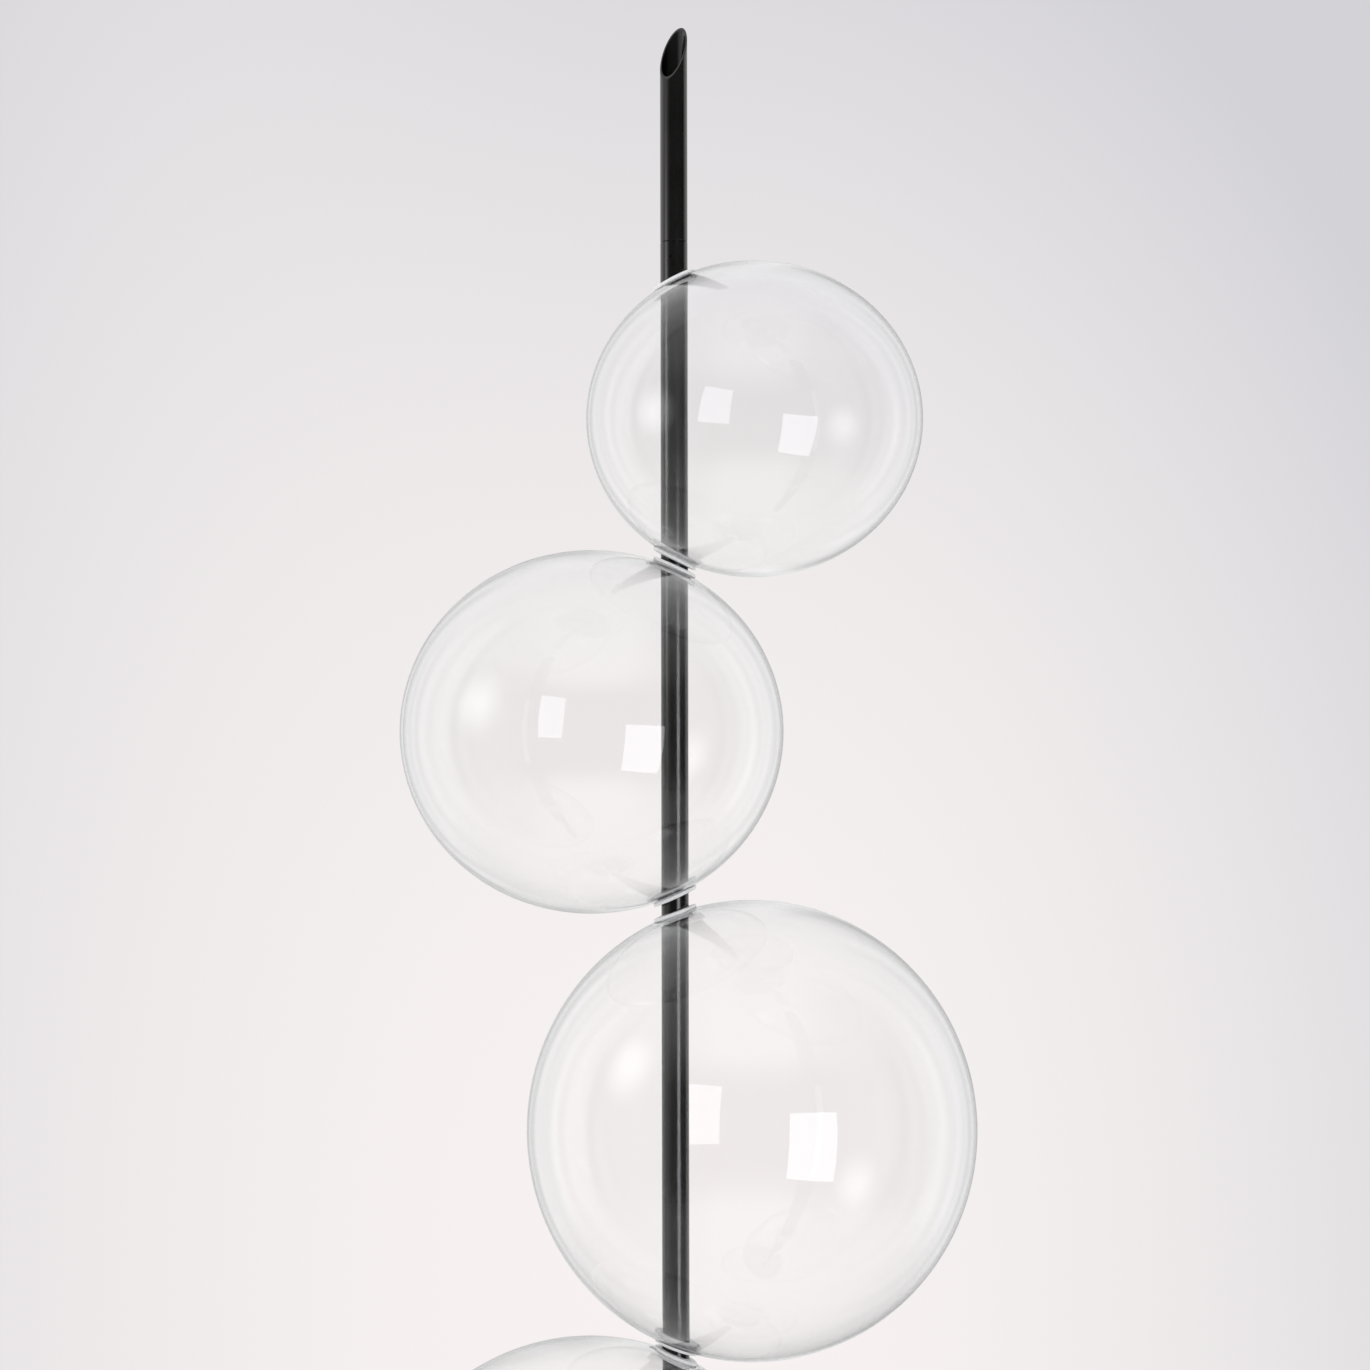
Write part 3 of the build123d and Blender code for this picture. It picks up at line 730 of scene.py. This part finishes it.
def new_finish(slot, base, roughness, metallic=0.0, **constants):
    """A material with one Principled shader, its constants on the shader's own sockets."""
    material = bpy.data.materials.new(f"{slot}_finish")
    material.use_nodes = True
    tree = material.node_tree
    shader = next(node for node in tree.nodes if node.type == "BSDF_PRINCIPLED")
    shader.inputs["Base Color"].default_value = (*base, 1)
    shader.inputs["Roughness"].default_value = roughness
    shader.inputs["Metallic"].default_value = metallic
    for socket_name, value in constants.items():
        shader.inputs[socket_name.replace("_", " ")].default_value = value
    material.diffuse_color = (*base, 1)
    return material, tree, shader


def blend_colours(tree, factor, first, second):
    """A colour between two, by a mask."""
    node = add_node(tree, "ShaderNodeMix", data_type="RGBA")
    plug(tree, node.inputs[0], factor)
    plug(tree, node.inputs[6], (*first, 1))
    plug(tree, node.inputs[7], (*second, 1))
    return node.outputs[2]


def raise_surface(tree, shader, height, distance):
    """Feed a height through a Bump node to the shader's normal."""
    bump = add_node(tree, "ShaderNodeBump", {"Height": height, "Distance": distance, "Strength": 1.0})
    plug(tree, shader.inputs["Normal"], bump.outputs["Normal"])


def scaled(tone, share):
    """A colour made lighter or darker."""
    return tuple(min(1.0, part * share) for part in tone)


def clear_glass():
    glass = settings().glass
    material, tree, shader = new_finish(
        "clear_glass", glass.tint, 0.0, Transmission_Weight=1.0, IOR=1.45
    )
    wave = place_group(tree, "Blown ripple", ripple_group, Size=0.06)
    raise_surface(tree, shader, wave, glass.ripple)
    return material


def clear_plastic():
    seal = settings().seal
    material, tree, shader = new_finish(
        "clear_plastic", seal.tint, 0.3, Transmission_Weight=0.15, IOR=1.4
    )
    haze = place_group(tree, "Mottle", mottle_group, Size=0.006, Softness=0.3)
    plug(tree, shader.inputs["Roughness"], haze * 0.12 + 0.24)
    return material


def dark_bronze():
    tube = settings().tube
    material, tree, shader = new_finish("dark_bronze", tube.bronze, tube.sheen, Specular_IOR_Level=1.0)
    blotches = place_group(tree, "Mottle", mottle_group, Size=0.03, Softness=0.2)
    warm = scaled(tube.bronze, 1.35)
    plug(tree, shader.inputs["Base Color"], blend_colours(tree, blotches, scaled(tube.bronze, 0.75), warm))
    lines = place_group(tree, "Grain", grain_group, Stretch=(1.0, 1.0, 0.02), Scale=900.0)
    plug(tree, shader.inputs["Roughness"], blotches * 0.07 + lines * 0.05 + (tube.sheen - 0.06))
    raise_surface(tree, shader, lines, 0.000001)
    return material


def metal(name, base, roughness, stretch, scale):
    """Bare or plated metal with the lines that its making left."""
    material, tree, shader = new_finish(name, base, roughness, metallic=1.0)
    lines = place_group(tree, "Grain", grain_group, Stretch=stretch, Scale=scale)
    blotches = place_group(tree, "Mottle", mottle_group, Size=0.02, Softness=0.3)
    plug(tree, shader.inputs["Base Color"], blend_colours(tree, lines, scaled(base, 0.8), scaled(base, 1.1)))
    plug(tree, shader.inputs["Roughness"], blotches * 0.12 + (roughness - 0.06))
    raise_surface(tree, shader, lines, 0.00001)
    return material


def moulded(name, base, roughness, size=0.0006, depth=0.00002, **constants):
    """Moulded plastic or rubber with a fine pebbled skin."""
    material, tree, shader = new_finish(name, base, roughness, **constants)
    skin_marks = place_group(tree, "Mottle", mottle_group, Size=size, Softness=0.0)
    pebbled = blend_colours(tree, skin_marks, scaled(base, 0.88), scaled(base, 1.08))
    plug(tree, shader.inputs["Base Color"], pebbled)
    plug(tree, shader.inputs["Roughness"], skin_marks * 0.1 + (roughness - 0.05))
    raise_surface(tree, shader, skin_marks, depth)
    return material


def cast_iron():
    material, tree, shader = new_finish("cast_iron", (0.05, 0.05, 0.052), 0.75)
    sand = place_group(tree, "Mottle", mottle_group, Size=0.0015, Softness=0.0)
    mixed = blend_colours(tree, sand, (0.035, 0.035, 0.037), (0.075, 0.073, 0.07))
    plug(tree, shader.inputs["Base Color"], mixed)
    raise_surface(tree, shader, sand, 0.0002)
    return material


FINISHES = {
    "clear_glass": clear_glass,
    "clear_plastic": clear_plastic,
    "dark_bronze": dark_bronze,
    "dark_steel": lambda: metal("dark_steel", (0.045, 0.042, 0.04), 0.35, (1.0, 1.0, 0.1), 1500.0),
    "steel": lambda: metal("steel", (0.52, 0.52, 0.53), 0.35, (1.0, 0.05, 1.0), 700.0),
    "aluminium": lambda: metal("aluminium", (0.75, 0.75, 0.76), 0.4, (1.0, 1.0, 0.03), 800.0),
    "cast_iron": cast_iron,
    "driver_case": lambda: moulded("driver_case", (0.78, 0.78, 0.77), 0.5),
    "board": lambda: moulded("board", (0.85, 0.85, 0.83), 0.35, depth=0.000005),
    "diffuser": lambda: moulded("diffuser", (0.88, 0.87, 0.84), 0.45, depth=0.000005, Subsurface_Weight=0.3),
    "black_plastic": lambda: moulded("black_plastic", (0.012, 0.012, 0.012), 0.45),
    "white_plastic": lambda: moulded("white_plastic", (0.8, 0.8, 0.8), 0.4),
    "wire_cover": lambda: moulded("wire_cover", (0.02, 0.02, 0.02), 0.5, size=0.002),
    "rubber": lambda: moulded("rubber", (0.02, 0.02, 0.02), 0.85, size=0.0012, depth=0.0002),
}


def finish(slot):
    """The material of one of the record's slots, built once."""
    return bpy.data.materials.get(f"{slot}_finish") or FINISHES[slot]()


SLOTS = {part["node"]: part["material_slot"] for part in frame["record"]["subparts"]}


def paint(piece, node):
    """Give a piece the finish of a CAD node's slot."""
    piece.data.materials.clear()
    piece.data.materials.append(finish(SLOTS[node]))


def mount(piece, node, body):
    """Let a piece stand for a CAD node and move with its body."""
    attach(piece, body)
    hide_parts(node)


# Studio

def soft_light(name, place, aim, width, height, radiance, share, roll=0.0):
    """A rectangular light of this radiance, aimed at a point, rolled clockwise, seen only in reflections.

    Its brightness varies with the place across and up its face, each counted from 0 to 1, as share gives it.
    """
    data = bpy.data.lights.new(name, "AREA")
    data.shape = "RECTANGLE"
    data.size = width
    data.size_y = height
    data.energy = radiance * 4 * width * height
    light = bpy.data.objects.new(name, data)
    facing = (Vector(aim) - Vector(place)).to_track_quat("-Z", "Y").to_matrix().to_4x4()
    light.matrix_world = Matrix.Translation(place) @ facing @ Matrix.Rotation(roll, 4, "Z")
    light.visible_camera = False
    light.visible_diffuse = False
    bpy.context.scene.collection.objects.link(light)

    data.use_nodes = True
    tree = data.node_tree
    across, rise, _ = xyz(tree, add_node(tree, "ShaderNodeNewGeometry").outputs["Parametric"])
    path = add_node(tree, "ShaderNodeLightPath").outputs
    mirrored = Value(tree, path["Glossy Depth"]).smaller(1.0)
    straight_through = Value(tree, path["Is Transmission Ray"]) * (mirrored * -1.0 + 1.0)
    emission = next(node for node in tree.nodes if node.type == "EMISSION")
    plug(tree, emission.inputs["Strength"], share(across, rise) * (straight_through * -1.0 + 1.0))
    return data


def even(across, rise):
    """The same brightness all over a light's face."""
    return across.ramp(-1.0, 0.0)


def soft_round(across, rise):
    """A round glow that fades to nothing at the edge of a light's face."""
    return ((across - 0.5).squared() + (rise - 0.5).squared()).root().ramp(0.0, 0.5, 1.0, 0.0)


def around(turn, distance, height):
    """A place at this turn from the front, counted to the right, in degrees."""
    return distance * sin(radians(turn)), -distance * cos(radians(turn)), height


def studio_world(studio):
    """Plain light from all round, a pale backdrop for the eye, and a hung studio for reflections."""
    world = bpy.data.worlds.new("studio")
    world.use_nodes = True
    tree = world.node_tree
    tree.nodes.clear()
    direction = add_node(tree, "ShaderNodeTexCoord").outputs["Generated"]
    x, y, z = xyz(tree, direction)
    path = add_node(tree, "ShaderNodeLightPath").outputs

    upward = (z + 0.148).larger(0.0).squared() * x.ramp(-0.16, 0.0, 3.8, 7.0)
    fall = x.squared() * x.ramp(-0.05, 0.05, 12.5, 18.0) + upward
    backdrop = blend_colours(tree, fall.smaller(1.0), studio.glow, studio.shade)
    through_glass = Value(tree, path["Is Transmission Ray"])
    aside = x.size()
    flags = aside.ramp(0.31, 0.37) * aside.ramp(0.44, 0.52, 1.0, 0.0) * z.size().ramp(0.3, 0.5, 1.0, 0.0)
    bent = flags * y.ramp(0.0, 0.2) * -0.85 + 0.05
    brightness = z.size().ramp(0.3, 0.6, 1.0, 1.3) + bent * through_glass

    turn = x.apply("ARCTAN2", y * -1.0)
    leftward = turn * -1.0
    right_walls = turn.ramp(radians(88), radians(112), 0.05, 0.78)
    near_left = leftward.ramp(radians(30), radians(72), 0.0, 0.42)
    left_walls = near_left + leftward.ramp(radians(88), radians(112), 0.0, 0.34)
    darker_behind = turn.size().ramp(radians(158), radians(167), 0.0, -0.15)
    behind = darker_behind * turn.size().ramp(radians(168), radians(177), 1.0, 0.0)
    waves = (turn * 17.0).sine() + (turn * 29.0).sine()
    folds = waves * turn.size().ramp(radians(66), radians(88), 0.0, 0.07)
    ends = z.size().ramp(0.35, 0.75) * x.size().ramp(0.25, 0.65, 1.0, 0.4)
    sides = right_walls + left_walls + behind + folds
    room = sides * (ends * -1.0 + 1.0) + ends * 0.95

    seen = Value(tree, path["Is Camera Ray"]).larger(through_glass)
    mirrored = Value(tree, path["Glossy Depth"]).smaller(1.0)
    light = add_node(tree, "ShaderNodeBackground", {"Strength": studio.daylight})
    pale = add_node(tree, "ShaderNodeBackground", {"Color": backdrop, "Strength": brightness})
    reflected = add_node(tree, "ShaderNodeBackground", {"Color": (1.0, 1.0, 1.0, 1.0), "Strength": room})
    shown = add_node(tree, "ShaderNodeMixShader", {0: seen, 1: light.outputs[0], 2: pale.outputs[0]})
    last_mix = {0: mirrored, 1: shown.outputs[0], 2: reflected.outputs[0]}
    whole = add_node(tree, "ShaderNodeMixShader", last_mix)
    add_node(tree, "ShaderNodeOutputWorld", {"Surface": whole.outputs[0]})
    bpy.context.scene.world = world


def floor_finish(studio):
    """Pale floor that fades into the backdrop away from the lamp."""
    material, tree, shader = new_finish("studio_floor", studio.floor, 0.9)
    place = add_node(tree, "ShaderNodeTexCoord").outputs["Object"]
    x, y, _ = xyz(tree, place)
    distance = (x.squared() + y.squared()).root()
    clear = add_node(tree, "ShaderNodeBsdfTransparent")
    fade = add_node(tree, "ShaderNodeMixShader")
    plug(tree, fade.inputs[0], distance.ramp(1.0, 3.2))
    plug(tree, fade.inputs[1], shader.outputs[0])
    plug(tree, fade.inputs[2], clear.outputs[0])
    out = next(node for node in tree.nodes if node.type == "OUTPUT_MATERIAL")
    plug(tree, out.inputs["Surface"], fade.outputs[0])
    return material


class LAMP_OT_stage(Operator):
    """Set up the floor, the backdrop, the lights and the camera"""

    bl_idname = "lamp.stage"
    bl_label = "Stage"

    def execute(self, context):
        studio = settings().studio
        scene = context.scene
        scene.view_settings.view_transform = "Standard"
        studio_world(studio)

        floor_rows = [(0.001, 0), (1.0, 0), (2.0, 0), (3.4, 0)]
        floor = skin("studio_floor", floor_rows, 96, upright, closed=False)
        floor.data.flip_normals()
        floor.data.materials.append(floor_finish(studio))

        lean = radians(-3.5)
        place = around(30, 2.2, 1.14)
        window = soft_light("window", place, (0, 0, 1.18), 0.92, 1.18, studio.window, even, lean)
        window.color = studio.window_tone
        soft_light("umbrella", around(-69, 1.15, 1.84), (0, 0, 1.6), 0.84, 0.84, studio.umbrella, soft_round)

        data = bpy.data.cameras.new("photo_camera")
        data.lens = studio.camera_lens
        data.sensor_width = 36.0
        camera = bpy.data.objects.new("photo_camera", data)
        stand = Matrix.Translation((studio.camera_aside, -studio.camera_distance, studio.camera_height))
        level = Matrix.Rotation(pi / 2, 4, "X")
        camera.matrix_world = stand @ level @ Matrix.Rotation(studio.camera_roll, 4, "Z")
        scene.collection.objects.link(camera)
        scene.camera = camera
        return {"FINISHED"}


class LAMP_PT_panel(Panel):
    """Settings of the floor lamp, and the steps that build it"""

    bl_idname = "LAMP_PT_panel"
    bl_label = "Floor lamp"
    bl_space_type = "VIEW_3D"
    bl_region_type = "UI"
    bl_category = "Floor lamp"

    def draw(self, context):
        layout = self.layout
        lamp = context.scene.floor_lamp
        for name in ("glass", "seal", "tube", "base", "studio"):
            group = getattr(lamp, name)
            box = layout.box()
            box.label(text=name.capitalize())
            for key in group.bl_rna.properties.keys():
                if key not in ("rna_type", "name"):
                    box.prop(group, key)
        for operator in STEPS:
            layout.operator(operator.bl_idname)


STEPS = [LAMP_OT_stage, LAMP_OT_globes, LAMP_OT_seals, LAMP_OT_tube, LAMP_OT_base, LAMP_OT_fittings]
GROUPS = [GlassSettings, SealSettings, TubeSettings, BaseSettings, StudioSettings, LampSettings]


def register():
    for kind in GROUPS + STEPS + [LAMP_PT_panel]:
        bpy.utils.register_class(kind)
    bpy.types.Scene.floor_lamp = PointerProperty(type=LampSettings)


def unregister():
    del bpy.types.Scene.floor_lamp
    for kind in reversed(GROUPS + STEPS + [LAMP_PT_panel]):
        bpy.utils.unregister_class(kind)


def main():
    """Build the lamp's looks."""
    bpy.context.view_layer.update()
    register()
    bpy.ops.lamp.stage()
    bpy.ops.lamp.globes()
    bpy.ops.lamp.seals()
    bpy.ops.lamp.tube()
    bpy.ops.lamp.base()
    bpy.ops.lamp.fittings()
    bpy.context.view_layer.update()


if __name__ == "__main__":
    main()
